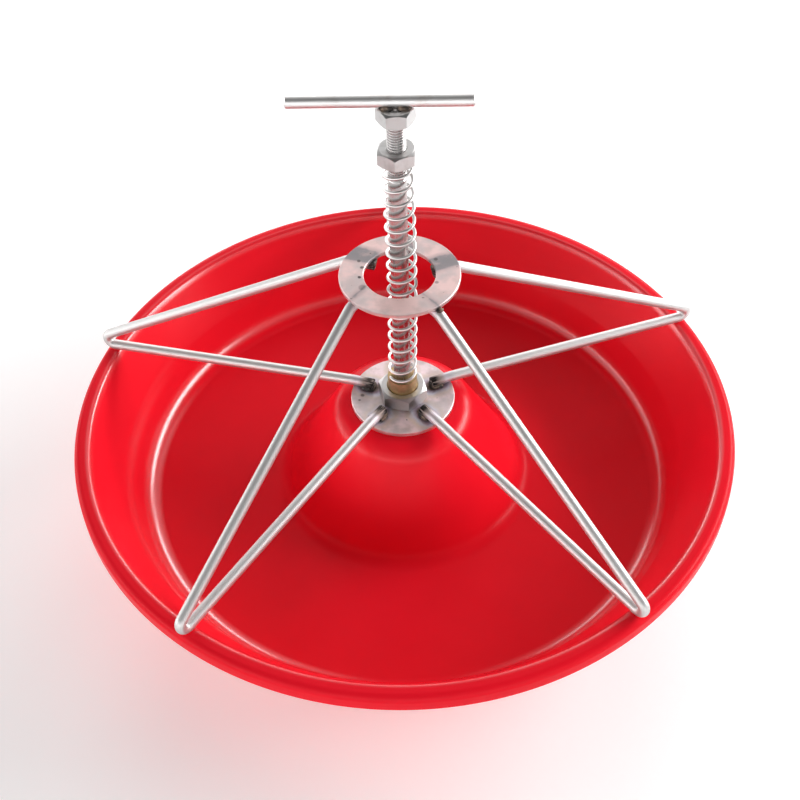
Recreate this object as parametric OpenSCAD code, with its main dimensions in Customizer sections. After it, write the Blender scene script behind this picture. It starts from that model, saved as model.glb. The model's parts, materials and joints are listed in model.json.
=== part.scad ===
// Round pig feeder: a moulded trough with a domed middle, five bent-wire dividers
// and a spring-loaded hook that clamps it to a slatted floor.
// Millimetres, +Z up. The origin lies on the floor, at the centre of the trough's foot.

/* [Trough] */
// Diameter over the lip
trough_diameter = 320; // [280:1:380]
// Height of the lip's top above the ground
trough_height = 70; // [62:1:90]
// Thickness of the moulded wall
wall = 3; // [2:0.1:4]
// Height of the feeding floor's upper face
floor_height = 26; // [18:0.5:32]
// Height of the crease between the two slopes of the wall
crease_height = 44; // [40:0.5:52]
// Horizontal run of the slope above the crease
upper_flare = 15.6; // [10:0.2:20]
// Horizontal run of the slope below the crease
lower_flare = 7.8; // [5:0.2:12]
// Width of the flat lip
lip_width = 7.2; // [6:0.1:12]
// Height of the lip's turned-down edge
lip_drop = 9; // [7:0.1:14]
// Rounding of the lip's outer edge
lip_round = 3.4; // [1:0.1:4]
// Rounding where the lip turns into the wall
lip_inner_round = 3; // [1:0.1:4]
// Rounding between the wall and the floor
floor_round = 9; // [5:0.5:12]
// Distance of the foot ring from the corner of the floor
foot_inset = 14.4; // [10:0.2:25]
// Thickness of the foot ring at the ground
foot_wall = 3.5; // [2.5:0.1:5]
// Draft of each face of the foot ring, over its height
foot_draft = 0.8; // [0.2:0.1:1.5]

/* [Dome] */
// Height of the dome's crown above the ground
dome_height = 78; // [72:0.5:95]
// Diameter of the crown where its plane meets the line of the flank
crown_diameter = 63; // [60:0.5:75]
// Horizontal run of the flank down to the floor
dome_flare = 28.8; // [22:0.2:36]
// Rounding of the crown's edge
crown_round = 12; // [6:0.5:13]
// Rounding between the flank and the floor
dome_foot_round = 10; // [5:0.5:12]

/* [Divider arms] */
// Diameter of the wire
arm_wire = 5; // [4:0.1:6]
// Centreline radius of the hairpin bend at the tip
tip_bend = 3.5; // [3.2:0.1:6]
// How far the tip reaches past the lip
tip_overhang = 1; // [0:0.1:4]
// Centreline radius of the slight bends beside the ring and the plate
foot_bend = 8; // [6:0.5:15]
// How much thicker the wire is through a bend
bend_swell = 0.03; // [0.02:0.01:0.2]
// Distance of the lower end from the rod's axis
arm_end_radius = 15; // [14:0.1:18]

/* [Set of each arm] */
// Turn of the rear arm from its even place, anticlockwise from above
rear_swing = 0; // [-4:0.1:4]
// Turn of the rear left arm from its even place
rear_left_swing = -2; // [-4:0.1:4]
// Turn of the front left arm from its even place
front_left_swing = -2.8; // [-4:0.1:4]
// Turn of the front right arm from its even place
front_right_swing = 1.1; // [-4:0.1:4]
// Turn of the rear right arm from its even place
rear_right_swing = 2.2; // [-4:0.1:4]
// Lean of the rear arm about its tip, which carries its upper end to the clockwise side
rear_lean = 2; // [0:0.1:7]
// Lean of the rear left arm
rear_left_lean = 5.5; // [0:0.1:7]
// Lean of the front left arm
front_left_lean = 5.5; // [0:0.1:7]
// Lean of the front right arm
front_right_lean = 0.5; // [0:0.1:7]
// Lean of the rear right arm
rear_right_lean = 0.5; // [0:0.1:7]

/* [Ring and plate] */
// Outer diameter of the upper ring
ring_diameter = 54; // [48:0.5:62]
// Diameter of the hole in the upper ring
ring_hole = 32; // [26:0.5:34]
// Thickness of the upper ring
ring_thickness = 2; // [1.5:0.1:3]
// Height of the upper ring's top face
ring_height = 158.3; // [145:0.5:170]
// Diameter of the base plate
plate_diameter = 50; // [46:0.5:56]
// Thickness of the base plate
plate_thickness = 2.4; // [1.5:0.1:4]
// Chamfer of the edges of ring, plate and washer
disc_edge = 0.3; // [0.1:0.05:0.6]
// Radius of the weld beads at the wire ends
weld_radius = 3.6; // [3:0.1:4.5]

/* [Guide] */
// Outer diameter of the threaded guide bush
bush_diameter = 14; // [13:0.5:15]
// How far the bush stands above the guide nut
bush_stand = 6.5; // [4:0.1:10]
// How far the bush stands below the crown nut
bush_below = 0.8; // [0.5:0.1:2]
// Width across the flats of the nuts on the bush
bush_nut_flats = 21; // [20:0.5:22]
// Height of the guide nut on the plate
guide_nut_height = 7.5; // [6:0.1:10]
// Height of the crown nut under the dome
crown_nut_height = 6; // [5:0.1:7]
// Diameter of the washer under the dome
washer_diameter = 28; // [25:0.5:32]
// Thickness of the washer under the dome
washer_thickness = 2; // [1.5:0.1:3]

/* [Hook rod] */
// Height of the handle's top above the ground
overall_height = 250; // [240:1:270]
// Diameter of the rod
rod_diameter = 8; // [7:0.1:9]
// Diameter of the handle bar
handle_wire = 5; // [4:0.1:7]
// Length of the handle bar
handle_length = 75; // [64:0.5:100]
// How far the handle bar is set off to the left
handle_offset = 6; // [0:0.1:8]
// Turn of the handle bar about the rod, anticlockwise from above
handle_turn = -3; // [-90:1:90]
// Width across the flats of the handle nut
handle_nut_flats = 14; // [13:0.1:16]
// Height of the handle nut
handle_nut_height = 6.5; // [5:0.1:8]
// Length of thread that shows between the handle nut and the adjusting nut
thread_show = 13; // [8:0.1:20]
// Width across the flats of the adjusting nut
adjusting_nut_flats = 15.2; // [14:0.1:17]
// Height of the adjusting nut
adjusting_nut_height = 6.5; // [5:0.1:8]
// Diameter of the hook bar
hook_wire = 8; // [6:0.1:9]
// Length of the hook bar
hook_length = 60; // [50:0.5:66]

/* [Spring] */
// Outer diameter of the spring
spring_diameter = 13.8; // [13:0.1:15]
// Diameter of the spring's wire
spring_wire = 1.4; // [1:0.1:1.6]
// Turns of the spring from end to end
spring_turns = 18; // [12:1:22]
// Clear gap between the turns at each closed end
spring_end_gap = 0.7; // [0.6:0.1:1.5]

/* [Fits] */
// Gap between faces that are clamped or welded together
seat_gap = 0.05; // [0.02:0.01:0.1]
// Gap between a nut's bore and its thread
thread_gap = 0.05; // [0.02:0.01:0.1]
// Gap round the bush in the plate, the dome and the washer
hole_gap = 0.25; // [0.1:0.05:0.5]
// Running gap between the rod and the bush
guide_gap = 0.1; // [0.05:0.01:0.15]
// Gap between pieces that press on each other across a joint
stop_gap = 0.3; // [0.2:0.05:0.5]

/* [Hidden] */
$fn = 96;

// One overrun serves every cut
overrun = 2;

// Small roundings of the trough and beads of the handle and the hook
crease_round = 20;
lip_bottom_round = 1;
handle_weld_radius = 3.2;
hook_weld_depth = 1.8;

// Heights of the stacked pieces, from the crown upwards
plate_bottom = dome_height + seat_gap;
plate_top = plate_bottom + plate_thickness;
guide_nut_bottom = plate_top + seat_gap;
guide_nut_top = guide_nut_bottom + guide_nut_height;
bush_top = guide_nut_top + bush_stand;
ring_bottom = ring_height - ring_thickness;

// Heights of the stacked pieces, from the crown downwards
crown_under = dome_height - wall;
washer_bottom = crown_under - seat_gap - washer_thickness;
crown_nut_bottom = washer_bottom - seat_gap - crown_nut_height;
bush_bottom = crown_nut_bottom - bush_below;
hook_axis = bush_bottom - stop_gap - hook_wire / 2;

// Heights on the rod, from the handle downwards
handle_axis = overall_height - handle_wire / 2;
handle_nut_top = overall_height - handle_wire - seat_gap;
handle_nut_bottom = handle_nut_top - handle_nut_height;
adjusting_nut_top = handle_nut_bottom - thread_show;
adjusting_nut_bottom = adjusting_nut_top - adjusting_nut_height;

// Turns of the nuts about the rod: the angle of one corner from the front, to the right
guide_nut_turn = 12;
handle_nut_turn = 30;
adjusting_nut_turn = -7;

// The hole that the bush goes through in dome, plate and washer
bush_hole = bush_diameter + 2 * hole_gap;

// Turn and lean of the arms as they were welded, from the rear one round by the left
arm_swings = [rear_swing, rear_left_swing, front_left_swing, front_right_swing, rear_right_swing];
arm_leans = [rear_lean, rear_left_lean, front_left_lean, front_right_lean, rear_right_lean];
arm_count = len(arm_swings);
arm_rear_direction = 90;

// Shares that shape the nuts, the bush, the bar ends and the rod's saddle
nut_face_share = 0.95;
nut_sink_share = 1.08;
nut_clear_share = 1.05;
nut_chamfer_angle = 30;
bush_sink_share = 0.82;
end_chamfer_share = 0.14;
saddle_share = 0.5;

// Flat geometry in a plane: points, directions and lines

function unit(v) = v / norm(v);
function along(angle) = [cos(angle), sin(angle)];
function heading(a, b) = atan2(b[1] - a[1], b[0] - a[0]);
function cross2(a, b) = a[0] * b[1] - a[1] * b[0];

// Where two lines meet, each given by a point and a direction
function meet(p, d, q, e) = p + d * cross2(q - p, e) / cross2(d, e);

// A point of the line from p to q, once that line is moved to its right
function beside(p, q, distance) = p + distance * [unit(q - p)[1], -unit(q - p)[0]];

// Outlines with rounded corners, listed anticlockwise, with one rounding for each point

function before(points, i) = points[(i + len(points) - 1) % len(points)];
function after(points, i) = points[(i + 1) % len(points)];
function to_before(points, i) = unit(before(points, i) - points[i]);
function to_after(points, i) = unit(after(points, i) - points[i]);
function half_corner(points, i) = acos(to_before(points, i) * to_after(points, i)) / 2;
function turns_left(points, i) = cross2(to_after(points, i), to_before(points, i)) > 0;
function arc_start(points, rounds, i) =
    points[i] + to_before(points, i) * rounds[i] / tan(half_corner(points, i));
function arc_end(points, rounds, i) =
    points[i] + to_after(points, i) * rounds[i] / tan(half_corner(points, i));
function arc_centre(points, rounds, i) =
    points[i] + unit(to_before(points, i) + to_after(points, i)) * rounds[i] / sin(half_corner(points, i));

module corner_sector(points, rounds, i) {
    centre = arc_centre(points, rounds, i);
    intersection() {
        translate(centre)
            circle(r = rounds[i]);
        polygon([arc_start(points, rounds, i), points[i], arc_end(points, rounds, i), centre]);
    }
}

module rounded_outline(points, rounds) {
    corners = [for (i = [0 : len(points) - 1]) if (rounds[i] > 0) i];
    difference() {
        union() {
            polygon([
                for (i = [0 : len(points) - 1])
                    each rounds[i] > 0
                        ? [arc_start(points, rounds, i), arc_end(points, rounds, i)]
                        : [points[i]]
            ]);
            for (i = corners)
                if (turns_left(points, i))
                    corner_sector(points, rounds, i);
        }
        for (i = corners)
            if (!turns_left(points, i))
                corner_sector(points, rounds, i);
    }
}

// Trough: one moulded shell, revolved from three rounded outlines

rim_radius = trough_diameter / 2;
lip_edge = [rim_radius - lip_width, trough_height];
wall_crease = [lip_edge[0] - upper_flare, crease_height];
floor_corner = [wall_crease[0] - lower_flare, floor_height];
crown_edge = [crown_diameter / 2, dome_height];
dome_foot = [crown_edge[0] + dome_flare, floor_height];

floor_under = floor_height - wall;
lip_under = trough_height - wall;
lip_bottom = trough_height - lip_drop;
foot_radius = floor_corner[0] - foot_inset;
level = [1, 0];

// The shell's other side, one wall away from the faces above
lower_back = beside(floor_corner, wall_crease, wall);
upper_back = beside(wall_crease, lip_edge, wall);
flank_back = beside(crown_edge, dome_foot, wall);
floor_back = meet(lower_back, wall_crease - floor_corner, [0, floor_under], level);
crease_back = meet(lower_back, wall_crease - floor_corner, upper_back, lip_edge - wall_crease);
lip_back = meet(upper_back, lip_edge - wall_crease, [0, lip_under], level);
foot_back = meet(flank_back, dome_foot - crown_edge, [0, floor_under], level);
crown_back = meet(flank_back, dome_foot - crown_edge, [0, crown_under], level);

module trough_block() {
    rounded_outline(
        [
            [0, 0],
            [foot_radius, 0],
            [foot_radius + foot_draft, floor_under],
            floor_back,
            crease_back,
            lip_back,
            [rim_radius - wall, lip_under],
            [rim_radius - wall, lip_bottom],
            [rim_radius, lip_bottom],
            [rim_radius, dome_height],
            [0, dome_height]
        ],
        [0, 0, 0, floor_round + wall, 0, 0, 0, lip_bottom_round, lip_bottom_round, 0, 0]
    );
}

module feed_space() {
    rounded_outline(
        [
            [0, dome_height],
            crown_edge,
            dome_foot,
            floor_corner,
            wall_crease,
            lip_edge,
            [rim_radius + overrun, trough_height],
            [rim_radius + overrun, dome_height + overrun],
            [0, dome_height + overrun]
        ],
        [0, crown_round, dome_foot_round, floor_round, crease_round, lip_inner_round, 0, 0, 0]
    );
}

module under_space() {
    rounded_outline(
        [
            [0, -overrun],
            [foot_radius - foot_wall, -overrun],
            [foot_radius - foot_wall - foot_draft, floor_under],
            foot_back,
            crown_back,
            [0, crown_under]
        ],
        [0, 0, 0, dome_foot_round + wall, crown_round - wall, 0]
    );
}

module lip_edge_cut() {
    translate([rim_radius - lip_round, trough_height - lip_round])
        difference() {
            square(lip_round + overrun);
            circle(r = lip_round);
        }
}

module trough() {
    color("firebrick")
        difference() {
            rotate_extrude()
                difference() {
                    trough_block();
                    feed_space();
                    under_space();
                    lip_edge_cut();
                }
            translate([0, 0, crown_under - overrun])
                cylinder(h = wall + 2 * overrun, d = bush_hole);
        }
}

// Bent wire: straight runs and round bends along a path in the plane of X and Z

// The change of direction at point i of a path, to the left positive
function turn_at(path, i) =
    (heading(path[i], path[i + 1]) - heading(path[i - 1], path[i]) + 540) % 360 - 180;

// How much of the runs on both sides the bend at point i takes up
function setback(path, bends, i) =
    i == 0 || i == len(path) - 1 ? 0 : bends[i - 1] * tan(abs(turn_at(path, i)) / 2);

// How far the runs reach into the bend at point i, none at the free ends
function lap(path, i) = i == 0 || i == len(path) - 1 ? 0 : bend_swell;

module wire_run(a, b, diameter) {
    translate([a[0], 0, a[1]])
        rotate([0, 90 - heading(a, b), 0])
            cylinder(h = norm(b - a), d = diameter);
}

module wire_bend(start, direction, turn, radius, diameter) {
    side = turn > 0 ? 90 : -90;
    centre = start + radius * along(direction + side);
    first = turn > 0 ? direction - 90 : direction + 90 + turn;
    translate([centre[0], 0, centre[1]])
        rotate([90, 0, 0])
            rotate([0, 0, first])
                rotate_extrude(angle = abs(turn))
                    translate([radius, 0])
                        circle(d = diameter);
}

module bent_wire(path, bends, diameter) {
    for (i = [0 : len(path) - 2]) {
        direction = heading(path[i], path[i + 1]);
        way = along(direction);
        a = path[i] + way * setback(path, bends, i);
        b = path[i + 1] - way * setback(path, bends, i + 1);
        wire_run(a - way * lap(path, i), b + way * lap(path, i + 1), diameter);
        if (i < len(path) - 2)
            wire_bend(b, direction, turn_at(path, i + 1), bends[i], diameter + bend_swell);
    }
}

// Divider arms: each is one wire, from under the ring out to a hairpin on the lip
// and back to the plate, in a plane that leans about a level line through the hairpin's centre

ring_foot = ring_bottom - seat_gap - arm_wire / 2;
plate_foot = plate_top + seat_gap + arm_wire / 2;
tip_centre = [
    rim_radius + tip_overhang - arm_wire / 2 - tip_bend,
    trough_height + seat_gap + arm_wire / 2 + tip_bend
];

// How far the lean of arm i carries its wire to the side at a height
function aside(i, height) = (height - tip_centre[1]) * tan(arm_leans[i]);

// A point of arm i in its own plane, by its height and by the circle round the rod that it lies on
function on_arm(i, radius, height) = [
    sqrt(pow(radius, 2) - pow(aside(i, height), 2)),
    tip_centre[1] + (height - tip_centre[1]) / cos(arm_leans[i])
];

// Direction of the line from p that passes a circle, above it for side 1, below it for side -1
function passing(p, centre, radius, side) =
    heading(p, centre) + side * asin(radius / norm(centre - p));

function tip_point(ring_turn, plate_turn) = meet(
    ring_turn, along(passing(ring_turn, tip_centre, tip_bend, 1)),
    plate_turn, along(passing(plate_turn, tip_centre, tip_bend, -1))
);

function arm_path(i) =
    let (
        ring_turn = on_arm(i, ring_diameter / 2, ring_foot),
        plate_turn = on_arm(i, plate_diameter / 2, plate_foot)
    )
    [
        on_arm(i, ring_hole / 2, ring_foot),
        ring_turn,
        tip_point(ring_turn, plate_turn),
        plate_turn,
        on_arm(i, arm_end_radius, plate_foot)
    ];

module at_arm(i) {
    rotate([0, 0, arm_rear_direction + i * 360 / arm_count + arm_swings[i]])
        children();
}

module leaned(i) {
    translate([0, 0, tip_centre[1]])
        rotate([arm_leans[i], 0, 0])
            translate([0, 0, -tip_centre[1]])
                children();
}

module arm(i) {
    color("silver")
        at_arm(i)
            leaned(i)
                bent_wire(arm_path(i), [foot_bend, tip_bend, foot_bend], arm_wire);
}

module arm_rear() {
    arm(0);
}

module arm_rear_left() {
    arm(1);
}

module arm_front_left() {
    arm(2);
}

module arm_front_right() {
    arm(3);
}

module arm_rear_right() {
    arm(4);
}

// Upper ring and base plate: flat discs that the arms are welded to

module disc(bottom, thickness, diameter, hole) {
    top = bottom + thickness;
    outside = diameter / 2;
    inside = hole / 2;
    rotate_extrude()
        polygon([
            [inside + disc_edge, bottom],
            [outside - disc_edge, bottom],
            [outside, bottom + disc_edge],
            [outside, top - disc_edge],
            [outside - disc_edge, top],
            [inside + disc_edge, top],
            [inside, top - disc_edge],
            [inside, bottom + disc_edge]
        ]);
}

module upper_ring() {
    color("lightgray")
        disc(ring_bottom, ring_thickness, ring_diameter, ring_hole);
}

module base_plate() {
    color("lightgray")
        disc(plate_bottom, plate_thickness, plate_diameter, bush_hole);
}

// Weld bead on a level face at zero height, against a wire that lies on the face along X
// and starts at a given place
module bead(place, radius, wire, wire_start) {
    reach = radius + overrun;
    difference() {
        translate([place, 0, 0])
            sphere(r = radius);
        translate([place - reach, -reach, seat_gap - 2 * reach])
            cube(2 * reach);
        translate([wire_start - seat_gap, 0, seat_gap + wire / 2])
            rotate([0, 90, 0])
                cylinder(h = 2 * reach, d = wire + 2 * seat_gap);
    }
}

// Bead against the end of arm i, which lies on a level face at a height on the circle of a radius
module arm_bead(i, radius, height) {
    start = on_arm(i, radius, height)[0];
    translate([0, -aside(i, height), 0])
        bead(start + weld_radius / 2, weld_radius, arm_wire, start);
}

module ring_welds() {
    color("dimgray")
        for (i = [0 : arm_count - 1])
            at_arm(i)
                translate([0, 0, ring_bottom])
                    mirror([0, 0, 1])
                        arm_bead(i, ring_hole / 2, ring_foot);
}

module plate_welds() {
    color("dimgray")
        for (i = [0 : arm_count - 1])
            at_arm(i)
                translate([0, 0, plate_top])
                    arm_bead(i, arm_end_radius, plate_foot);
}

// Hexagon nut, chamfered at both ends, with its lower face at zero height
module hex_nut(flats, height, bore, turn) {
    corner = flats / 2 / cos(30);
    face = flats / 2 * nut_face_share;
    outer = corner * nut_clear_share;
    rise = (outer - face) * tan(nut_chamfer_angle);
    sink = bore / 2 * nut_sink_share;
    difference() {
        intersection() {
            rotate([0, 0, turn - 30])
                cylinder(h = height, r = corner, $fn = 6);
            rotate_extrude()
                polygon([
                    [0, 0],
                    [face, 0],
                    [outer, rise],
                    [outer, height - rise],
                    [face, height],
                    [0, height]
                ]);
        }
        translate([0, 0, -overrun])
            cylinder(h = height + 2 * overrun, d = bore);
        cylinder(h = sink - bore / 2, r1 = sink, r2 = bore / 2);
        translate([0, 0, height - sink + bore / 2])
            cylinder(h = sink - bore / 2, r1 = bore / 2, r2 = sink);
    }
}

// Guide: a threaded bush through plate and dome, with a nut above and a nut below

module guide_bush() {
    bore = rod_diameter / 2 + guide_gap;
    sink = bush_diameter / 2 * bush_sink_share;
    color("goldenrod")
        rotate_extrude()
            polygon([
                [bore, bush_bottom + sink - bore],
                [sink, bush_bottom],
                [bush_diameter / 2, bush_bottom],
                [bush_diameter / 2, bush_top],
                [sink, bush_top],
                [bore, bush_top - sink + bore]
            ]);
}

module guide_nut() {
    color("gainsboro")
        translate([0, 0, guide_nut_bottom])
            hex_nut(bush_nut_flats, guide_nut_height, bush_diameter + 2 * thread_gap, guide_nut_turn);
}

module crown_washer() {
    color("gainsboro")
        disc(washer_bottom, washer_thickness, washer_diameter, bush_hole);
}

module crown_nut() {
    color("gainsboro")
        translate([0, 0, crown_nut_bottom])
            hex_nut(bush_nut_flats, crown_nut_height, bush_diameter + 2 * thread_gap, 0);
}

// Spring: one tube along a helix whose rise eases off in the turn at each end

spring_radius = (spring_diameter - spring_wire) / 2;
spring_low = bush_top + stop_gap + spring_wire / 2;
spring_high = adjusting_nut_bottom - stop_gap - spring_wire / 2;
end_pitch = spring_wire + spring_end_gap;
spring_pitch = (spring_high - spring_low - end_pitch) / (spring_turns - 1);
ring_steps = 8;
ring_sides = 6;
spring_start_angle = 200;

// Height above the lower end after a number of turns, and the rise per turn there
function first_rise(t) = end_pitch * t + (spring_pitch - end_pitch) * t * t / 2;
function spring_rise(t) =
    t < 1 ? first_rise(t)
    : t > spring_turns - 1 ? spring_high - spring_low - first_rise(spring_turns - t)
    : first_rise(1) + spring_pitch * (t - 1);
function spring_slope(t) =
    end_pitch + (spring_pitch - end_pitch) * min(1, t, spring_turns - t);

function spring_angle(t) = spring_start_angle + 360 * t;
function outward(t) = [cos(spring_angle(t)), sin(spring_angle(t)), 0];
function level_way(t) = [-sin(spring_angle(t)), cos(spring_angle(t)), 0];
function spring_point(t) = spring_radius * outward(t) + [0, 0, spring_low + spring_rise(t)];
function spring_way(t) = unit(2 * PI * spring_radius * level_way(t) + [0, 0, spring_slope(t)]);

// Each ring of the tube is a centre, a way along the wire and a way outward
spring_stations = [for (i = [0 : spring_turns * ring_steps]) i / ring_steps];
spring_rings = concat(
    [[spring_point(0) - spring_wire * level_way(0), level_way(0), outward(0)]],
    [for (t = spring_stations) [spring_point(t), spring_way(t), outward(t)]],
    [[
        spring_point(spring_turns) + spring_wire * level_way(spring_turns),
        level_way(spring_turns),
        outward(spring_turns)
    ]]
);

function ring_points(ring, radius) = [
    for (k = [0 : ring_sides - 1])
        ring[0] + radius * (
            cos(360 * k / ring_sides) * ring[2] + sin(360 * k / ring_sides) * cross(ring[1], ring[2])
        )
];

// Least clear gap between stretches of the wire that are over half a turn apart
spring_least_gap = min([
    for (i = [0 : len(spring_rings) - 1])
        for (j = [i + ring_steps / 2 + 1 : len(spring_rings) - 1])
            norm(spring_rings[i][0] - spring_rings[j][0])
]) - spring_wire;
echo(spring_least_gap = spring_least_gap);

module spring() {
    last = (len(spring_rings) - 1) * ring_sides;
    color("whitesmoke")
        polyhedron(
            points = [for (ring = spring_rings) each ring_points(ring, spring_wire / 2)],
            faces = concat(
                [
                    for (i = [0 : len(spring_rings) - 2])
                        for (k = [0 : ring_sides - 1])
                            let (
                                a = i * ring_sides + k,
                                b = i * ring_sides + (k + 1) % ring_sides,
                                c = b + ring_sides,
                                d = a + ring_sides
                            )
                            each [[a, d, c], [a, c, b]]
                ],
                [for (k = [1 : ring_sides - 2]) [0, k, k + 1]],
                [for (k = [1 : ring_sides - 2]) [last, last + k + 1, last + k]]
            )
        );
}

// Round bar along X, with chamfered ends
module round_bar(length, diameter) {
    chamfer = diameter * end_chamfer_share;
    rotate([0, 90, 0])
        rotate_extrude()
            polygon([
                [0, -length / 2],
                [diameter / 2 - chamfer, -length / 2],
                [diameter / 2, chamfer - length / 2],
                [diameter / 2, length / 2 - chamfer],
                [diameter / 2 - chamfer, length / 2],
                [0, length / 2]
            ]);
}

// Hook rod: handle bar and nut at the top, adjusting nut on the thread, hook bar below

module rod() {
    chamfer = rod_diameter * end_chamfer_share;
    saddle = hook_axis + hook_wire / 2 * saddle_share;
    color("lightsteelblue")
        difference() {
            rotate_extrude()
                polygon([
                    [0, saddle],
                    [rod_diameter / 2, saddle],
                    [rod_diameter / 2, handle_nut_top - chamfer],
                    [rod_diameter / 2 - chamfer, handle_nut_top],
                    [0, handle_nut_top]
                ]);
            translate([0, 0, hook_axis])
                round_bar(hook_length, hook_wire + 2 * seat_gap);
        }
}

module adjusting_nut() {
    color("gainsboro")
        translate([0, 0, adjusting_nut_bottom])
            hex_nut(
                adjusting_nut_flats, adjusting_nut_height, rod_diameter + 2 * thread_gap, adjusting_nut_turn
            );
}

module handle_nut() {
    color("gainsboro")
        translate([0, 0, handle_nut_bottom])
            hex_nut(handle_nut_flats, handle_nut_height, rod_diameter + 2 * thread_gap, handle_nut_turn);
}

module handle_bar() {
    color("silver")
        rotate([0, 0, handle_turn])
            translate([-handle_offset, 0, handle_axis])
                round_bar(handle_length, handle_wire);
}

module handle_welds() {
    place = handle_nut_flats / 4;
    color("dimgray")
        rotate([0, 0, handle_turn])
            translate([0, 0, handle_nut_top])
                for (side = [-1, 1])
                    bead(
                        side * place, handle_weld_radius, handle_wire,
                        side * place - handle_weld_radius - overrun
                    );
}

module hook_bar() {
    color("silver")
        translate([0, 0, hook_axis])
            round_bar(hook_length, hook_wire);
}

module hook_weld() {
    color("dimgray")
        translate([0, 0, hook_axis])
            difference() {
                sphere(r = hook_wire / 2 + hook_weld_depth);
                round_bar(hook_length, hook_wire + 2 * seat_gap);
                cylinder(h = hook_wire, d = rod_diameter + 2 * seat_gap);
            }
}

trough();
arm_rear();
arm_rear_left();
arm_front_left();
arm_front_right();
arm_rear_right();
upper_ring();
base_plate();
guide_bush();
guide_nut();
crown_washer();
crown_nut();
ring_welds();
plate_welds();
spring();
rod();
adjusting_nut();
handle_nut();
handle_bar();
handle_welds();
hook_bar();
hook_weld();
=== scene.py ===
import json
import math

import bmesh
import bpy
from mathutils import Matrix, Vector, noise


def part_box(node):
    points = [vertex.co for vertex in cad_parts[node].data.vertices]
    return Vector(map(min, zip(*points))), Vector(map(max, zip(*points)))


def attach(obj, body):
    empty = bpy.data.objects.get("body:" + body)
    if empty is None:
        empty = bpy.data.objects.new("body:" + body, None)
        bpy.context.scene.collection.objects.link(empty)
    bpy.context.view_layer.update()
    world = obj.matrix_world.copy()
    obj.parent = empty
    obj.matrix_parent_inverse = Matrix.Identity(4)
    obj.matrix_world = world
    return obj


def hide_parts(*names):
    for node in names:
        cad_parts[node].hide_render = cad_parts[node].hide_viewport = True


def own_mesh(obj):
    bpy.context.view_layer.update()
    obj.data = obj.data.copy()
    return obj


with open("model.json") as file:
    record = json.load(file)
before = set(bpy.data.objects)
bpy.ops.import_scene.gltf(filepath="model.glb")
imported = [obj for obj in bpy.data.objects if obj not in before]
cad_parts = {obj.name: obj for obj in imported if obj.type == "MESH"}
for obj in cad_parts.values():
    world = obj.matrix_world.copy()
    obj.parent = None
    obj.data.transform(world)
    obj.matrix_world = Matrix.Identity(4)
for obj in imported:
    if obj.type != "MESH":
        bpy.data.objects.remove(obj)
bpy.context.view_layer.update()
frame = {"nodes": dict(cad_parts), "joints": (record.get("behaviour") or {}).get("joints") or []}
nodes = frame["nodes"]

# Trough
# A round pan with a turned-down lip and a domed middle, moulded in one from red polypropylene.
# It stands on its own foot ring and carries everything else on the dome. The flats are smooth
# but soft in their shine, and most of the bends are rubbed to a polish.

SHELL = 0.003
LIP, FLOOR, CROWN = 0.070, 0.026, 0.078
BORE = 0.00725
CROWN_EDGE, DOME_FOOT = Vector((0.0315, CROWN)), Vector((0.0603, FLOOR))
FLOOR_CORNER, CREASE, LIP_EDGE = Vector((0.1294, FLOOR)), Vector((0.1372, 0.044)), Vector((0.1528, LIP))
RIM, RIM_LOW = 0.160, 0.061
FOOT_OUTER, FOOT_INNER, FOOT_DRAFT = 0.115, 0.1115, 0.0008
PAN_SIDES, PAN_STEP = 288, 0.006
ARC_STEP = 0.11


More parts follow.
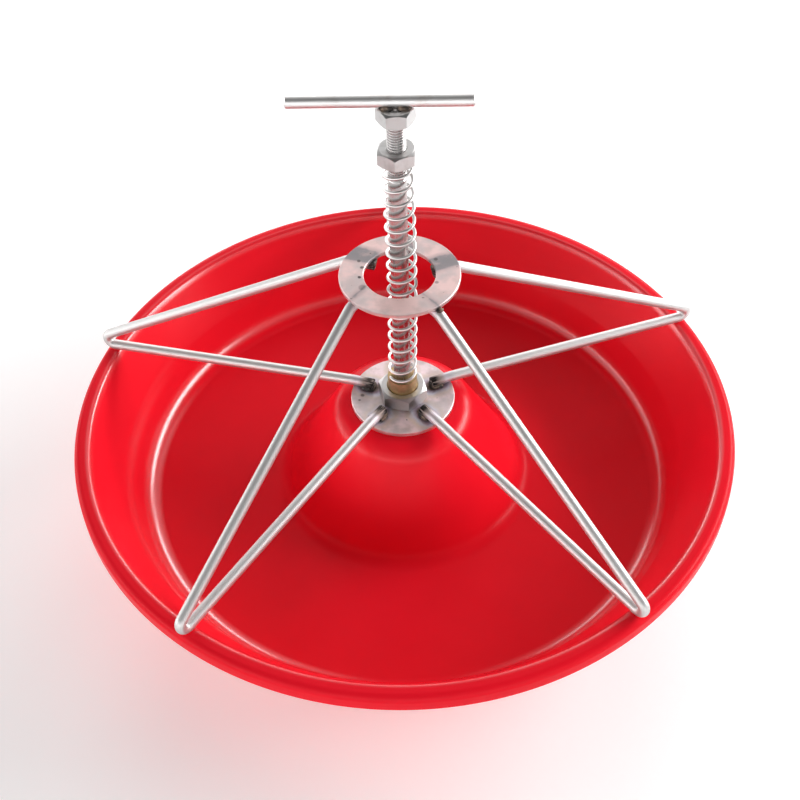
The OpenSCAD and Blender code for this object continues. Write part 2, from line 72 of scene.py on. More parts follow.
class Shade:
    """One socket of a material: arithmetic on it adds Math nodes."""

    def __init__(self, tree, socket=None):
        self.tree = tree
        self.socket = socket

    def node(self, kind, settings=None, sockets=None, output=0):
        """Adds a node, sets it up, feeds its sockets and gives back one of its outputs."""
        made = self.tree.nodes.new("ShaderNode" + kind)
        for name, value in (settings or {}).items():
            if name == "stops":
                ramp = made.color_ramp.elements
                while len(ramp) < len(value):
                    ramp.new(0.5)
                for stop, (place, colour) in zip(ramp, value):
                    stop.position = place
                    stop.color = (*colour, 1)
            else:
                setattr(made, name, value)
        self.feed(made, sockets or {})
        return Shade(self.tree, made.outputs[output])

    def feed(self, made, sockets):
        """Sets each named socket of a node, or links it where a Shade is given."""
        for name, value in sockets.items():
            if isinstance(value, Shade):
                self.tree.links.new(value.socket, made.inputs[name])
            else:
                made.inputs[name].default_value = value

    def math(self, operation, *values):
        return self.node("Math", {"operation": operation}, dict(enumerate(values)))

    def __add__(self, other):
        return self.math("ADD", self, other)

    __radd__ = __add__

    def __mul__(self, other):
        return self.math("MULTIPLY", self, other)

    __rmul__ = __mul__

    def __sub__(self, other):
        return self.math("SUBTRACT", self, other)

    def __rsub__(self, other):
        return self.math("SUBTRACT", other, self)

    def __truediv__(self, other):
        return self.math("DIVIDE", self, other)

    def __rtruediv__(self, other):
        return self.math("DIVIDE", other, self)

    def __pow__(self, other):
        return self.math("POWER", self, other)

    def __rpow__(self, other):
        return self.math("POWER", other, self)

    def __abs__(self):
        return self.math("ABSOLUTE", self)

    def least(self, other):
        return self.math("MINIMUM", self, other)

    def most(self, other):
        return self.math("MAXIMUM", self, other)

    def fade(self, low, high, start=0.0, end=1.0):
        """Goes smoothly from start at low to end at high."""
        limits = {"From Min": low, "From Max": high, "To Min": start, "To Max": end}
        return self.node("MapRange", {"interpolation_type": "SMOOTHSTEP"}, {"Value": self, **limits})

    def grain(self, scale, detail=2.0, rough=0.5):
        """Noise from 0 to 1 at these coordinates, with so many features in a unit."""
        sockets = {"Vector": self, "Scale": scale, "Detail": detail, "Roughness": rough}
        return self.node("TexNoise", None, sockets)

    def coats(self, base, *layers):
        """A colour with others laid over it, each by its own share."""
        for colour, share in layers:
            under = base if isinstance(base, Shade) else (*base, 1)
            base = self.node("Mix", {"data_type": "RGBA"}, {0: share, 6: under, 7: (*colour, 1)}, 2)
        return base

    def parts(self):
        """The three parts of a vector."""
        split = self.node("SeparateXYZ", None, {0: self}).socket.node
        return [Shade(self.tree, out) for out in split.outputs]

    def vector(self, *values):
        """A vector, or a colour, from three values."""
        return self.node("CombineXYZ", None, dict(enumerate(values)))

    def bump(self, height, depth, below=None):
        """A normal that stands for a relief so many metres deep."""
        sockets = {"Height": height, "Distance": depth, "Strength": 1.0}
        if below:
            sockets["Normal"] = below
        return self.node("Bump", None, sockets)


def finish(name):
    """A new material, the socket to start from, the place on the piece and a way to feed its surface."""
    made = bpy.data.materials.new(name)
    made.use_nodes = True
    shade = Shade(made.node_tree)
    surface = made.node_tree.nodes["Principled BSDF"]
    return made, shade, shade.node("TexCoord", output="Object"), lambda sockets: shade.feed(surface, sockets)


def add_piece(name, mesh, material, body, node):
    """Makes a piece from a filled mesh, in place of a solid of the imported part."""
    data = bpy.data.meshes.new(name)
    mesh.to_mesh(data)
    mesh.free()
    data.shade_smooth()
    data.materials.append(material)
    made = bpy.data.objects.new(name, data)
    bpy.context.scene.collection.objects.link(made)
    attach(made, body)
    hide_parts(node)
    return made


def crossing(a, a_turn, b, b_turn):
    """Where two lines in a plane meet."""
    a_way = Vector((math.cos(a_turn), math.sin(a_turn)))
    b_way = Vector((math.cos(b_turn), math.sin(b_turn)))
    return a + a_way * ((b - a).cross(b_way) / a_way.cross(b_way))


def bent_line(points, bends, step):
    """Points along a line through the given corners, each rounded to its own radius."""
    line = [points[0]]
    for before, corner, after, bend in zip(points, points[1:], points[2:], bends):
        inward, outward = (before - corner).normalized(), (after - corner).normalized()
        half = inward.angle(outward) / 2
        sweep = math.pi - 2 * half
        centre = corner + (inward + outward).normalized() * (bend / math.sin(half))
        start = corner + inward * (bend / math.tan(half)) - centre
        side = 1 if inward.cross(outward) < 0 else -1
        steps = max(4, round(sweep / ARC_STEP)) if bend else 0
        for i in range(steps + 1):
            line.append(centre + Matrix.Rotation(side * sweep * i / max(1, steps), 2) @ start)
    line.append(points[-1])
    filled = []
    for a, b in zip(line, line[1:]):
        count = max(1, round((b - a).length / step))
        filled += [a.lerp(b, i / count) for i in range(count)]
    return filled + [line[-1]]


def behind(a, b):
    """The line from a to b on the shell's other side, as a point and a direction."""
    way = (b - a).normalized()
    return a + Vector((way.y, -way.x)) * SHELL, math.atan2(way.y, way.x)


lower, upper, flank = behind(FLOOR_CORNER, CREASE), behind(CREASE, LIP_EDGE), behind(CROWN_EDGE, DOME_FOOT)
crown_under, floor_under, lip_under = ((Vector((0, h - SHELL)), 0.0) for h in (CROWN, FLOOR, LIP))
# each corner of the outline, by radius and height, with the radius of its bend
corners = (
    # the face that holds the feed, from the hole in the crown to the lip's outer edge
    (Vector((BORE, CROWN)), 0), (CROWN_EDGE, 0.012), (DOME_FOOT, 0.010), (FLOOR_CORNER, 0.009),
    (CREASE, 0.020), (LIP_EDGE, 0.003), (Vector((RIM, LIP)), 0.0034), (Vector((RIM, RIM_LOW)), 0.001),
    # the back of lip and wall
    (Vector((RIM - SHELL, RIM_LOW)), 0.001), (Vector((RIM - SHELL, LIP - SHELL)), 0),
    (crossing(*upper, *lip_under), 0), (crossing(*lower, *upper), 0), (crossing(*lower, *floor_under), 0.012),
    # the foot ring and the hollow under the dome
    (Vector((FOOT_OUTER + FOOT_DRAFT, FLOOR - SHELL)), 0), (Vector((FOOT_OUTER, 0)), 0.0006),
    (Vector((FOOT_INNER, 0)), 0.0006), (Vector((FOOT_INNER - FOOT_DRAFT, FLOOR - SHELL)), 0),
    (crossing(*flank, *floor_under), 0.013), (crossing(*flank, *crown_under), 0.009),
    (Vector((BORE, CROWN - SHELL)), 0),
)
points, bends = zip(*corners)
mesh = bmesh.new()
turns = [math.tau * k / PAN_SIDES for k in range(PAN_SIDES)]
rings = [
    [mesh.verts.new((p.x * math.cos(turn), p.x * math.sin(turn), p.y)) for turn in turns]
    for p in bent_line(points, bends[1:-1], PAN_STEP)
]
for inner, outer in zip(rings, rings[1:] + rings[:1]):
    for k in range(PAN_SIDES):
        mesh.faces.new((inner[k - 1], outer[k - 1], outer[k], inner[k]))
bmesh.ops.recalc_face_normals(mesh, faces=mesh.faces)

red_plastic, shade, spot, surface = finish("red_plastic")
x, y, z = spot.parts()
radius = (x * x + y * y) ** 0.5
flow = spot.grain(11, 3)
haze = spot.grain(38, 4, 0.6)
scuff = shade.vector((radius + z) * 900, x / radius * 3, y / radius * 3).grain(1, 4, 0.65).fade(0.62, 0.8)
# a polished band runs round the bends at the crown, the floor and the lip; the floor's is wider
# at the front left and the front right, and the crease has one at the front left alone
front_left = ((x * -0.9 - y * 0.43) / radius).fade(0.5, 0.8)
front_right = ((x * 0.64 - y * 0.77) / radius).fade(0.82, 0.96)
polish = 0.0
for bend, shift, reach, share in (
    (CROWN_EDGE, 0.0013, 0.0034, 0.16),
    (FLOOR_CORNER, 0.0010, 0.0024, 0.9),
    (LIP_EDGE, -0.0001, 0.0022, 0.8),
    (FLOOR_CORNER, -0.0014, 0.0046, front_left + front_right * 0.45),
    (CREASE, 0.0001, 0.0022, front_left * 0.4),
):
    polish = abs(radius - (bend.x + shift)).fade(reach * 0.3, reach, share, 0.0).most(polish)
surface({
    "Base Color": shade.coats(
        (0.86, 0.009, 0.023),
        ((0.79, 0.008, 0.019), flow.fade(0.35, 0.75)),
        ((0.84, 0.04, 0.06), scuff * 0.2),
    ),
    "Roughness": 0.26 + haze * 0.08 + scuff * 0.10,
    "Specular IOR Level": 0.05,
    "Coat Weight": (0.01 + polish + haze * 0.02 - scuff * 0.1).most(0.0),
    "Coat Roughness": 0.25,
    "Coat IOR": 2.0,
    "Normal": shade.bump(spot.grain(420, 2), 0.00002, shade.bump(spot.grain(18, 1), 0.00005)),
})
pan = add_piece("pan", mesh, red_plastic, "trough", "trough")
pan.data.set_sharp_from_angle(angle=math.radians(25))

# Divider arms
# Five hairpins of drawn stainless wire. Each starts under the ring, runs down to a tight bend
# that rests on the lip, and comes back to the plate. Both ends are welded and burnt dark.

WIRE, WIRE_CAP = 0.0025, 0.0004
WIRE_SIDES, WIRE_STEP = 28, 0.0022
SEAT_GAP = 0.00005
RING_HOLE, RING_EDGE = 0.016, 0.027
PLATE_END, PLATE_EDGE = 0.015, 0.025
RING_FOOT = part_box("upper_ring")[0].z - SEAT_GAP - WIRE
PLATE_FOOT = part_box("base_plate")[1].z + SEAT_GAP + WIRE
TIP_BEND, FOOT_BEND = 0.0035, 0.008
ARM_REACH = 0.161
TIP_CENTRE = Vector((ARM_REACH - WIRE - TIP_BEND, LIP + SEAT_GAP + WIRE + TIP_BEND))
ARM_SET = {
    # turn from the even place and lean about the tip, in degrees
    "rear": (0.0, 2.0),
    "rear_left": (-2.0, 5.5),
    "front_left": (-2.8, 5.5),
    "front_right": (1.1, 0.5),
    "rear_right": (2.2, 0.5),
}
ARMS = {
    name: (math.pi / 2 + place * math.tau / len(ARM_SET) + math.radians(swing), math.radians(lean))
    for place, (name, (swing, lean)) in enumerate(ARM_SET.items())
}


def past(start, centre, distance, side):
    """The direction from a point that passes a circle at the given side."""
    way = centre - start
    return math.atan2(way.y, way.x) + side * math.asin(distance / way.length)


def aside(lean, height):
    """How far the lean of an arm carries its wire to the side at a height."""
    return (height - TIP_CENTRE.y) * math.tan(lean)


def on_arm(lean, radius, height):
    """A point of an arm in its own plane, by its height and its circle round the rod."""
    return Vector((
        math.sqrt(radius ** 2 - aside(lean, height) ** 2),
        TIP_CENTRE.y + (height - TIP_CENTRE.y) / math.cos(lean),
    ))


def tube(stations, sides, cap):
    """A round bar through stations of centre, side, up and radius, with its ends closed.

    The attribute lay holds the place on the bar: round it in x and y, along it in z.
    """
    mesh = bmesh.new()
    lay = mesh.verts.layers.float_vector.new("lay")
    rings, along, last = [], 0.0, stations[0][0]
    for centre, side, up, size in stations:
        along += (centre - last).length
        last = centre
        ring = []
        for k in range(sides):
            turn = math.tau * k / sides
            vertex = mesh.verts.new(centre + (side * math.cos(turn) + up * math.sin(turn)) * size)
            vertex[lay] = (math.cos(turn), math.sin(turn), along)
            ring.append(vertex)
        rings.append(ring)
    for low, high in zip(rings, rings[1:]):
        for k in range(sides):
            mesh.faces.new((low[k], low[k - 1], high[k - 1], high[k]))
    for ring, (centre, side, up, _), way in ((rings[0], stations[0], -1), (rings[-1], stations[-1], 1)):
        middle = mesh.verts.new(centre + way * side.cross(up) * cap)
        middle[lay] = (0, 0, ring[0][lay].z)
        for k in range(sides):
            mesh.faces.new((ring[k], ring[k - 1], middle)[::way])
    bmesh.ops.recalc_face_normals(mesh, faces=mesh.faces)
    return mesh


wire_steel, shade, spot, surface = finish("wire_steel")
around_x, around_y, along = shade.node("Attribute", {"attribute_name": "lay"}, output="Vector").parts()
ends = shade.node("Attribute", {"attribute_name": "end_distance"}, output="Fac")
drawn = shade.vector(around_x * 7, around_y * 7, along * 9).grain(1, 4, 0.65)
mottle = spot.grain(95, 4, 0.6)
near = ends + (mottle - 0.5) * 0.006
streak = shade.vector(around_x * 2, around_y * 2, along * 90).grain(1, 3, 0.6).fade(0.38, 0.52)
surface({
    "Base Color": shade.coats(
        (0.66, 0.645, 0.64),
        ((0.46, 0.445, 0.44), drawn.fade(0.45, 0.72) * 0.55),
        ((0.60, 0.53, 0.60), near.fade(0.008, 0.014, 1.0, 0.0) * 0.6),
        ((0.28, 0.20, 0.15), near.fade(0.004, 0.008, 1.0, 0.0) * 0.7),
        ((0.03, 0.027, 0.027), near.fade(0.0015, 0.0050, 1.0, 0.0) * streak),
    ),
    "Metallic": 1.0,
    "Roughness": 0.46 + drawn * 0.14 + near.fade(0.003, 0.010, 0.15, 0.0),
    "Normal": shade.bump(drawn, 0.00003, shade.bump(mottle, 0.00008)),
})

for name, (turn, lean) in ARMS.items():
    ring_end, ring_turn = (on_arm(lean, radius, RING_FOOT) for radius in (RING_HOLE, RING_EDGE))
    plate_end, plate_turn = (on_arm(lean, radius, PLATE_FOOT) for radius in (PLATE_END, PLATE_EDGE))
    tip = crossing(
        ring_turn, past(ring_turn, TIP_CENTRE, TIP_BEND, 1),
        plate_turn, past(plate_turn, TIP_CENTRE, TIP_BEND, -1),
    )
    corners = [ring_end, ring_turn, tip, plate_turn, plate_end]
    spin = Matrix.Rotation(turn, 3, "Z") @ Matrix.Rotation(lean, 3, "X")
    side = spin @ Vector((0, 1, 0))
    centres = [
        Vector((0, 0, TIP_CENTRE.y)) + spin @ Vector((p.x, 0, p.y - TIP_CENTRE.y))
        for p in bent_line(corners, (FOOT_BEND, TIP_BEND, FOOT_BEND), WIRE_STEP)
    ]
    stations = []
    for i, centre in enumerate(centres):
        way = (centres[min(i + 1, len(centres) - 1)] - centres[max(i - 1, 0)]).normalized()
        stations.append((centre, side, way.cross(side), WIRE))
    mesh = tube(stations, WIRE_SIDES, WIRE_CAP)
    arm = add_piece("wire_" + name, mesh, wire_steel, "trough", "arm_" + name)
    places = [value.vector.z for value in arm.data.attributes["lay"].data]
    distance = arm.data.attributes.new("end_distance", "FLOAT", "POINT")
    distance.data.foreach_set("value", [min(place, max(places) - place) for place in places])

# Ring and plate
# Two discs stamped from cold-rolled stainless sheet. The ring is held up by the arms, and the
# plate is clamped on the dome. The welding heat has left grey, purple and straw marks on both.

HEAT_REACH = 0.010
PLATE_BEAD_END = 0.0185
# how far each arm's heat mark is drawn in, from the rear arm on
RING_FAINTNESS, PLATE_FAINTNESS = (0.0, 0.0, 0.0040, 0.0038, 0.0), (0.0, 0.0, 0.001, 0.0, 0.0)
# the sheet's colours away from a weld, by the share of the heat's reach
RING_TINTS = (
    (0.0, (0.29, 0.27, 0.28)), (0.38, (0.31, 0.28, 0.29)),
    (0.46, (0.52, 0.40, 0.40)), (0.70, (0.78, 0.57, 0.55)),
)
PLATE_TINTS = (
    (0.0, (0.05, 0.04, 0.04)), (0.24, (0.14, 0.10, 0.08)), (0.36, (0.36, 0.28, 0.34)),
    (0.52, (0.64, 0.62, 0.70)), (0.72, (0.78, 0.64, 0.57)), (0.95, (0.92, 0.75, 0.77)),
)
# weld spatter: x, y, size and darkness of each speck
RING_SPATTER = (
    (-0.0178, -0.0012, 0.0009, 0.9), (-0.0168, -0.0080, 0.0020, 0.35), (0.0158, -0.0068, 0.0012, 0.5),
    (-0.0165, 0.0052, 0.0013, 0.8), (-0.0178, 0.0096, 0.0010, 0.7), (0.0165, 0.0085, 0.0012, 0.6),
)
PLATE_SPATTER = ((-0.0195, 0.0010, 0.0016, 0.7), (-0.0210, -0.0022, 0.0010, 0.6))


def wear(node, material):
    """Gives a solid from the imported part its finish."""
    node.data.materials.clear()
    node.data.materials.append(material)


def disc_steel(node, height, start, end, faintness, tints, spatter):
    """Rolled sheet with the heat marks of the welds, which lie under or on it from start to end."""
    made, shade, spot, surface = finish(node + "_steel")
    x, y, z = spot.parts()
    cloud = spot.grain(130, 4, 0.6)
    rolled = shade.vector(x * 30, y * 1500, z * 1500).grain(1, 3, 0.6)
    patch = spot.grain(75, 3, 0.55)
    specks = spot.grain(520, 1).fade(0.74, 0.79) * 0.6
    for speck_x, speck_y, size, dark in spatter:
        away = ((x - speck_x) * (x - speck_x) + (y - speck_y) * (y - speck_y)) ** 0.5
        specks = (away + (cloud - 0.5) * 0.002).fade(size * 0.5, size, dark, 0.0).most(specks)
    heat = 1.0
    for (turn, lean), faint in zip(ARMS.values(), faintness):
        along = x * math.cos(turn) + y * math.sin(turn)
        across = y * math.cos(turn) - x * math.sin(turn) + aside(lean, height)
        beyond = (start - along).most(along - end).most(0.0)
        heat = ((beyond * beyond + across * across) ** 0.5 + faint).least(heat)
    heat = heat + (cloud - 0.5) * 0.004
    tinted = shade.node("ValToRGB", {"stops": tints}, {"Fac": heat / HEAT_REACH})
    surface({
        "Base Color": shade.coats(
            tinted,
            ((0.50, 0.45, 0.45), patch.fade(0.42, 0.66) * heat.fade(0.003, 0.008) * 0.75),
            ((0.58, 0.44, 0.42), cloud.fade(0.48, 0.7) * 0.5),
            ((0.05, 0.045, 0.045), specks),
        ),
        "Metallic": 1.0,
        "Roughness": 0.42 + rolled * 0.14 + heat.fade(0.002, 0.006, 0.12, 0.0),
        "Normal": shade.bump(rolled, 0.000025, shade.bump(cloud, 0.0001)),
    })
    wear(nodes[node], made)


disc_steel("upper_ring", RING_FOOT, RING_HOLE, RING_EDGE, RING_FAINTNESS, RING_TINTS, RING_SPATTER)
disc_steel("base_plate", PLATE_FOOT, PLATE_END, PLATE_BEAD_END, PLATE_FAINTNESS, PLATE_TINTS, PLATE_SPATTER)

# Weld beads
# Short beads of molten steel at each end of the arms, left as they set: dark, lumpy and
# with small ripples, under the ring and on the plate.

# half sizes of each kind, and its place: along the leg from the wire's end, aside, and off the disc
SIDE_BEAD, SIDE_PLACE = (0.0030, 0.0013, 0.0014), (0.0026, 0.0021, 0.0006)
END_BEAD, END_PLACE = (0.0012, 0.0026, 0.0016), (0.0002, 0.0, 0.0007)
EDGE_BEAD, EDGE_OVERHANG = (0.0013, 0.0017, 0.0009), 0.0009
LUMP, RIPPLE = 0.16, 0.05

weld_steel, shade, spot, surface = finish("weld_steel")
crust = spot.grain(700, 5, 0.7)
scale = spot.grain(260, 3)
surface({
    "Base Color": shade.coats(
        (0.05, 0.043, 0.04),
        ((0.22, 0.16, 0.12), scale.fade(0.45, 0.65)),
        ((0.34, 0.33, 0.36), crust.fade(0.58, 0.7) * 0.6),
    ),
    "Metallic": 0.8,
    "Roughness": 0.42 + crust * 0.3,
    "Normal": shade.bump(crust, 0.00025),
})


def weld(name, beads, body, node):
    """Lumpy beads, each given by centre, half sizes and turn about Z, joined to one piece."""
    mesh = bmesh.new()
    for centre, sizes, turn in beads:
        made = bmesh.ops.create_icosphere(mesh, subdivisions=4, radius=1)
        spin = Matrix.Rotation(turn, 3, "Z")
        for vertex in made["verts"]:
            round_spot = vertex.co.copy()
            lump = LUMP * noise.noise(round_spot * 2.1 + centre * 900)
            ripple = RIPPLE * math.sin(round_spot.x * 11 + noise.noise(round_spot * 3) * 2)
            grown = round_spot * (1 + lump + ripple)
            vertex.co = centre + spin @ Vector(a * b for a, b in zip(grown, sizes))
    add_piece(name, mesh, weld_steel, body, node)


for name, height, wire_height, radius, way in (
    ("ring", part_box("upper_ring")[0].z, RING_FOOT, RING_HOLE, -1),
    ("plate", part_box("base_plate")[1].z, PLATE_FOOT, PLATE_END, 1),
):
    beads = []
    for turn, lean in ARMS.values():
        spin = Matrix.Rotation(turn, 3, "Z")
        wire_end = Vector((on_arm(lean, radius, wire_height).x, -aside(lean, wire_height), height))
        for sizes, place, sides in ((SIDE_BEAD, SIDE_PLACE, (-1, 1)), (END_BEAD, END_PLACE, (1,))):
            for side in sides:
                centre = wire_end + Vector((place[0], side * place[1], way * place[2]))
                beads.append((spin @ centre, sizes, turn))
    if name == "ring":
        # one more at the ring's edge, on the leg at the front right
        turn, lean = ARMS["front_right"]
        centre = Vector((RING_EDGE + EDGE_OVERHANG, -aside(lean, wire_height), height))
        beads.append((Matrix.Rotation(turn, 3, "Z") @ centre, EDGE_BEAD, turn))
    weld(name + "_beads", beads, "trough", name + "_welds")

# Guide
# A brass bush goes through plate and dome. A large nut clamps it from above, and a washer with
# a second nut from below, all of bright stainless steel, as are the two nuts on the rod.

nut_steel, shade, spot, surface = finish("nut_steel")
x, y, z = spot.parts()
lines = shade.vector((x * x + y * y) ** 0.5 * 2600, x * 140, y * 140).grain(1, 3, 0.7)
stain = spot.grain(160, 4, 0.6)
surface({
    "Base Color": shade.coats((0.58, 0.57, 0.565), ((0.34, 0.32, 0.31), stain.fade(0.5, 0.8) * 0.6)),
    "Metallic": 1.0,
    "Roughness": 0.24 + lines * 0.12 + stain * 0.08,
    "Normal": shade.bump(lines, 0.00002, shade.bump(stain, 0.00006)),
})
for name in ("guide_nut", "crown_washer", "crown_nut", "adjusting_nut", "handle_nut"):
    wear(nodes[name], nut_steel)

turned_brass, shade, spot, surface = finish("turned_brass")
x, y, z = spot.parts()
groove = shade.vector(x * 30, y * 30, z * 2200).grain(1, 3, 0.6)
tarnish = spot.grain(240, 3)
surface({
    "Base Color": shade.coats((0.58, 0.42, 0.22), ((0.30, 0.21, 0.11), tarnish.fade(0.5, 0.75) * 0.6)),
    "Metallic": 1.0,
    "Roughness": 0.30 + groove * 0.15,
    "Normal": shade.bump(groove, 0.00004),
})
wear(nodes["guide_bush"], turned_brass)

# Spring
# A compression spring of bright steel wire, wound to the right and closer at both ends. It
# stands on the bush, bows a little to the right round the rod, and lifts the adjusting nut.

SPRING_WIRE, SPRING_MEAN, SPRING_TURNS = 0.0007, 0.0062, 18
SPRING_SEAT, NUT_GAP = 0.0948, 0.0003
SPRING_LOW = SPRING_SEAT + SPRING_WIRE
SPRING_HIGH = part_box("adjusting_nut")[0].z - NUT_GAP - SPRING_WIRE
SPRING_START, SPRING_BOW = math.radians(200), 0.0009
END_PITCH = 0.0021
SPRING_PITCH = (SPRING_HIGH - SPRING_LOW - END_PITCH) / (SPRING_TURNS - 1)
SPRING_SIDES, SPRING_CAP = 14, 0.0001
RINGS_PER_TURN, SHORT_TURN = 40, 0.01


def coil_rise(turns):
    """Height of the spring's wire above its lower end, after so many turns."""
    if turns < 1:
        return END_PITCH * turns + (SPRING_PITCH - END_PITCH) * turns * turns / 2
    if turns > SPRING_TURNS - 1:
        return SPRING_HIGH - SPRING_LOW - coil_rise(SPRING_TURNS - turns)
    return (END_PITCH + SPRING_PITCH) / 2 + SPRING_PITCH * (turns - 1)


def coil_spot(turns):
    """The middle of the spring's wire after so many turns."""
    angle = SPRING_START + math.tau * turns
    bow = SPRING_BOW * math.sin(math.pi * turns / SPRING_TURNS)
    return Vector((
        SPRING_MEAN * math.cos(angle) + bow,
        SPRING_MEAN * math.sin(angle),
        SPRING_LOW + coil_rise(turns),
    ))


stations = []
for i in range(SPRING_TURNS * RINGS_PER_TURN + 1):
    turns = i / RINGS_PER_TURN
    angle = SPRING_START + math.tau * turns
    outward = Vector((math.cos(angle), math.sin(angle), 0))
    before, after = max(turns - SHORT_TURN, 0), min(turns + SHORT_TURN, SPRING_TURNS)
    way = (coil_spot(after) - coil_spot(before)).normalized()
    stations.append((coil_spot(turns), outward, way.cross(outward).normalized(), SPRING_WIRE))

spring_steel, shade, spot, surface = finish("spring_steel")
around_x, around_y, along = shade.node("Attribute", {"attribute_name": "lay"}, output="Vector").parts()
drawn = shade.vector(around_x * 5, around_y * 5, along * 30).grain(1, 3, 0.6)
dull = spot.grain(180, 3)
surface({
    "Base Color": shade.coats(
        (0.68, 0.67, 0.66),
        ((0.55, 0.53, 0.51), drawn.fade(0.5, 0.75) * 0.5),
        ((0.48, 0.43, 0.38), dull.fade(0.58, 0.75) * 0.5),
    ),
    "Metallic": 1.0,
    "Roughness": 0.24 + drawn * 0.14,
    "Normal": shade.bump(drawn, 0.00002),
})
mesh = tube(stations, SPRING_SIDES, SPRING_CAP)
spring = add_piece("coil_spring", mesh, spring_steel, "spring", "spring")
bottom, top = (corner.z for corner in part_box("spring"))
press = next(j for j in frame["joints"] if j["name"] == "hook_press")["range_m"][1]
1 - press / (top - bottom)
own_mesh(spring)

# Hook rod
# A bright drawn stainless bar that slides and turns in the bush. A thread is rolled on its
# upper end, for the adjusting nut and the handle nut. A cross bar is welded to its foot.

ROD, ROD_SIDES = 0.004, 56
ROD_LOW, ROD_HIGH = (corner.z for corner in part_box("rod"))
END_BEVEL = 0.0011
THREAD_PITCH, THREAD_DEPTH = 0.00125, 0.00062
THREAD_BELOW_NUT = 0.009
THREAD_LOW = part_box("adjusting_nut")[0].z - THREAD_BELOW_NUT
CREST_SHARE, FLANK_SHARE = 0.12, 0.72
RUN_OUT_TURNS = 1.5
PLAIN_RINGS, RINGS_PER_PITCH = 40, 12


def thread_groove(height, turn):
    """Depth of the rolled thread at a place on the bar, with flat crests and roots."""
    share = (height / THREAD_PITCH - turn / math.tau) % 1
    cut = min(1.0, max(0.0, (abs(share * 2 - 1) - CREST_SHARE) / FLANK_SHARE))
    run_out = min(1.0, max(0.0, (height - THREAD_LOW) / (THREAD_PITCH * RUN_OUT_TURNS)))
    return THREAD_DEPTH * cut * run_out


heights = [ROD_LOW + (THREAD_LOW - ROD_LOW) * i / PLAIN_RINGS for i in range(PLAIN_RINGS)]
steps = round((ROD_HIGH - THREAD_LOW) / THREAD_PITCH * RINGS_PER_PITCH)
heights += [THREAD_LOW + (ROD_HIGH - THREAD_LOW) * i / steps for i in range(steps + 1)]
stations = [(Vector((0, 0, height)), Vector((1, 0, 0)), Vector((0, 1, 0)), ROD) for height in heights]
mesh = tube(stations, ROD_SIDES, 0.0)
for vertex in mesh.verts:
    size = vertex.co.xy.length
    if size > ROD / 2:
        groove = thread_groove(vertex.co.z, math.atan2(vertex.co.y, vertex.co.x))
        vertex.co.xy *= min(ROD - groove, ROD - END_BEVEL + ROD_HIGH - vertex.co.z) / size

bar_steel, shade, spot, surface = finish("bar_steel")
x, y, z = spot.parts()
drawn = shade.vector(x * 900, y * 900, z * 14).grain(1, 4, 0.6)
smear = spot.grain(110, 4, 0.6)
surface({
    "Base Color": shade.coats(
        (0.52, 0.505, 0.50),
        ((0.34, 0.32, 0.31), drawn.fade(0.5, 0.75) * 0.4),
        ((0.54, 0.47, 0.43), smear.fade(0.52, 0.75) * 0.6),
    ),
    "Metallic": 1.0,
    "Roughness": 0.16 + drawn * 0.12 + smear * 0.08,
    "Normal": shade.bump(drawn, 0.00002),
})
add_piece("threaded_rod", mesh, bar_steel, "hook_rod", "rod")

# Handle and hook bars
# Two cross bars cut from stainless bar: the handle is welded on the top nut, the hook under
# the rod. Both are drawn bright, with chamfered ends.

HANDLE_TURN = math.radians(-3)
# half sizes of the beads, and their place from the middle of the nut's top or of the hook bar
HANDLE_BEAD, HANDLE_PLACE = (0.0028, 0.0012, 0.0012), (0.0035, 0.0021, 0.0004)
HOOK_SIDE_BEAD, HOOK_SIDE_PLACE = (0.0042, 0.0014, 0.0013), (0.0, 0.0032, 0.0030)
HOOK_END_BEAD, HOOK_END_PLACE = (0.0013, 0.0030, 0.0009), (0.0040, 0.0, 0.0036)

cross_bar_steel, shade, spot, surface = finish("cross_bar_steel")
x, y, z = spot.parts()
drawn = shade.vector(x * 14, y * 1100, z * 1100).grain(1, 4, 0.6)
smear = spot.grain(90, 4, 0.6)
surface({
    "Base Color": shade.coats(
        (0.80, 0.785, 0.78),
        ((0.52, 0.48, 0.47), drawn.fade(0.5, 0.72) * 0.5),
        ((0.53, 0.45, 0.41), smear.fade(0.52, 0.75) * 0.5),
    ),
    "Metallic": 1.0,
    "Roughness": 0.36 + drawn * 0.14 + smear * 0.06,
    "Normal": shade.bump(drawn, 0.000025),
})
for name in ("handle_bar", "hook_bar"):
    wear(nodes[name], cross_bar_steel)

handle_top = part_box("handle_nut")[1].z
spin = Matrix.Rotation(HANDLE_TURN, 3, "Z")
along, across, above = HANDLE_PLACE
weld("handle_beads", [
    (spin @ Vector((side * along, front * across, handle_top + above)), HANDLE_BEAD, HANDLE_TURN)
    for side in (-1, 1) for front in (-1, 1)
], "hook_rod", "handle_welds")

hook_axis = sum(corner.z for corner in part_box("hook_bar")) / 2
bead_kinds = ((HOOK_SIDE_BEAD, HOOK_SIDE_PLACE), (HOOK_END_BEAD, HOOK_END_PLACE))
weld("hook_beads", [
    (Vector((side * along, side * across, hook_axis + above)), sizes, 0.0)
    for sizes, (along, across, above) in bead_kinds for side in (-1, 1)
], "hook_rod", "hook_weld")

# Studio
# A plain pale floor, a soft sky that is brighter low at the left and the front, a window at the
# right with two smaller lamps behind, and a camera where the photograph was taken.

REACH = 40.0
FLOOR_GLOW = 0.30
AIM = Vector((0, 0, 0.06))
EYE, LENS, SENSOR = Vector((-0.01198, -0.42873, 0.53611)), 58.20, 36
YAW, TILT, ROLL = (math.radians(angle) for angle in (1.406, 46.959, -1.65))

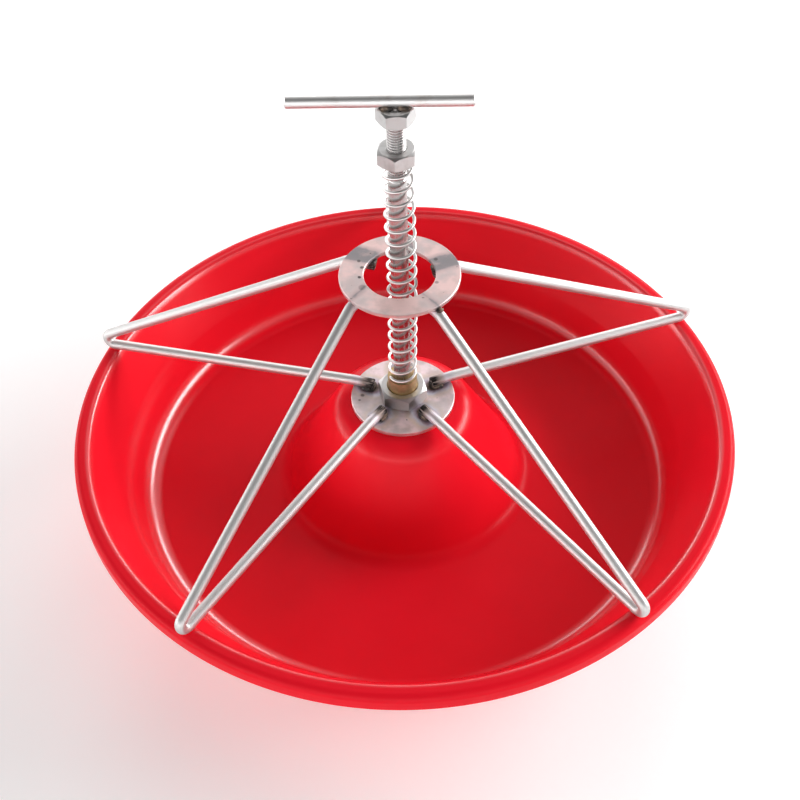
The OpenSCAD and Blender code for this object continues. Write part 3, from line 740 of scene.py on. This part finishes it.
scene = bpy.context.scene
scene.view_settings.view_transform = "Standard"
floor_mesh = bpy.data.meshes.new("floor")
square = [(-REACH, -REACH, 0), (REACH, -REACH, 0), (REACH, REACH, 0), (-REACH, REACH, 0)]
floor_mesh.from_pydata(square, [], [(0, 1, 2, 3)])
floor = bpy.data.objects.new("floor", floor_mesh)
scene.collection.objects.link(floor)
pale_floor, shade, spot, surface = finish("pale_floor")
camera_ray, glossy_ray, clear_ray = (
    shade.node("LightPath", output=name) for name in ("Is Camera Ray", "Is Glossy Ray", "Is Transmission Ray")
)
glow = camera_ray.most(glossy_ray).most(clear_ray) * FLOOR_GLOW
surface({
    "Base Color": (0.90, 0.90, 0.90, 1),
    "Roughness": 0.9,
    "Specular IOR Level": 0.1,
    "Emission Color": shade.vector(glow, glow, glow),
    "Emission Strength": 1.0,
})
floor_mesh.materials.append(pale_floor)

world = bpy.data.worlds.new("studio")
scene.world = world
world.use_nodes = True
shade = Shade(world.node_tree)
x, y, z = shade.node("TexCoord", output="Generated").parts()
right, left, rear, front = x * x.most(0.0), x * x.least(0.0), y * y.most(0.0), y * y.least(0.0)
# strength of the sky near the horizon, above that, overhead, and in a patch high at the rear
low = right * 0.2 + left * 4.6 + rear * 1.3 + front * 3.3
middle = right * 0.3 + left * 0.9 + front * 0.6
overhead = z.fade(0.56, 0.68) * 0.09
patch = (y * 0.68 + z * 0.73).fade(0.80, 0.97) * 0.7
sides = z.fade(0.20, 0.30, 1.0, 0.0) * low + z.fade(0.20, 0.30) * z.fade(0.56, 0.68, 1.0, 0.0) * middle
level = sides / (x * x + y * y) + overhead + patch
sky = {"Color": shade.vector(level, level, level), "Strength": 1.0}
shade.feed(world.node_tree.nodes["Background"], sky)


def softbox(name, place, width, depth, power):
    """A lamp that faces the middle of the trough."""
    data = bpy.data.lights.new(name, "AREA")
    data.shape = "RECTANGLE"
    data.size, data.size_y = width, depth
    data.energy = power
    made = bpy.data.objects.new(name, data)
    made.location = place
    made.rotation_euler = (AIM - made.location).to_track_quat("-Z", "Y").to_euler()
    scene.collection.objects.link(made)


softbox("window", (1.39, 0.44, 0.67), 1.7, 0.42, 30.0)
softbox("rear_window", (0.50, 1.40, 0.62), 0.6, 0.24, 5.0)
softbox("rear_lamp", (-0.36, 1.45, 0.62), 0.5, 0.24, 4.0)

ahead = Vector((math.sin(YAW) * math.cos(TILT), math.cos(YAW) * math.cos(TILT), -math.sin(TILT)))
right = Vector((math.cos(YAW), -math.sin(YAW), 0))
up = right.cross(ahead)
tilted_right = right * math.cos(ROLL) + up * math.sin(ROLL)
tilted_up = up * math.cos(ROLL) - right * math.sin(ROLL)
camera_data = bpy.data.cameras.new("camera")
camera_data.sensor_width = SENSOR
camera_data.lens = LENS
camera = bpy.data.objects.new("camera", camera_data)
scene.collection.objects.link(camera)
basis = Matrix((tilted_right, tilted_up, -ahead)).transposed().to_4x4()
basis.translation = EYE
camera.matrix_world = basis
scene.camera = camera
